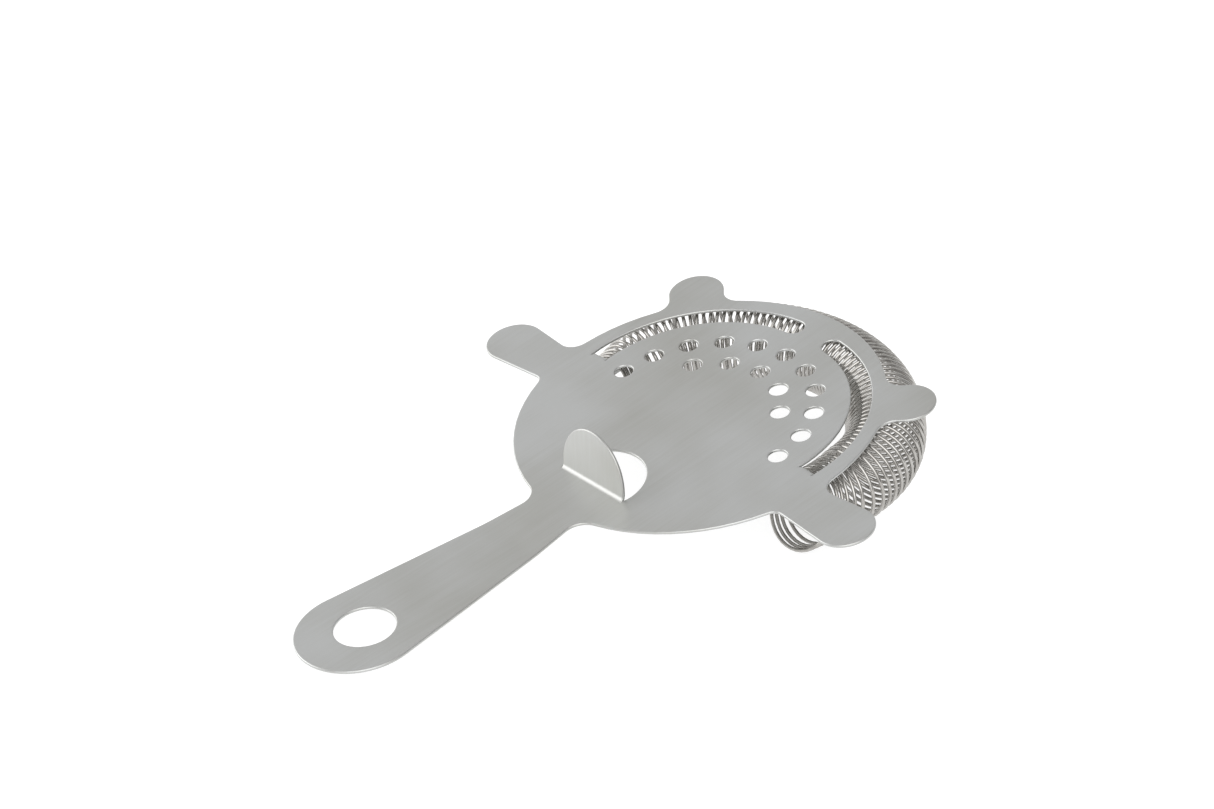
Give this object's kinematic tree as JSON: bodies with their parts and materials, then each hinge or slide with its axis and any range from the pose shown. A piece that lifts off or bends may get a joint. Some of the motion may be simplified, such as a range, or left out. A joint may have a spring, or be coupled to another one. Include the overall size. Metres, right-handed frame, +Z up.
{
  "type": "hawthorne strainer",
  "caption": "Cocktail strainer: a flat perforated steel plate with ears, a finger tab and a long handle, carrying a close-wound coil spring in a horseshoe under its front edge.",
  "frame": {"origin": "on the table, under the middle of the strainer's bounding box, with the strainer resting on its coil's tails and its handle's end", "axes": "+X from the handle to the front, +Y to the strainer's left, +Z up; the plate is pitched 11.0 degrees nose-up about Y"},
  "size_m": [0.1708, 0.1346, 0.0287],
  "materials": {
    "brushed_steel": "stainless steel, finely brushed along the handle, edges tumbled bright",
    "spring_steel": "bright drawn stainless wire"
  },
  "bodies": {
    "plate": {"strainer_plate": "brushed_steel"},
    "spring": {"coil_spring": "spring_steel"}
  },
  "joints": [
    {"name": "spring_press", "type": "slide", "parent": "plate", "child": "spring", "axis": [0.9817, 0, 0.1907], "range_m": [-0.006, 0], "stiffness_N_per_m": 600, "deforming": ["coil_spring"]}
  ]
}
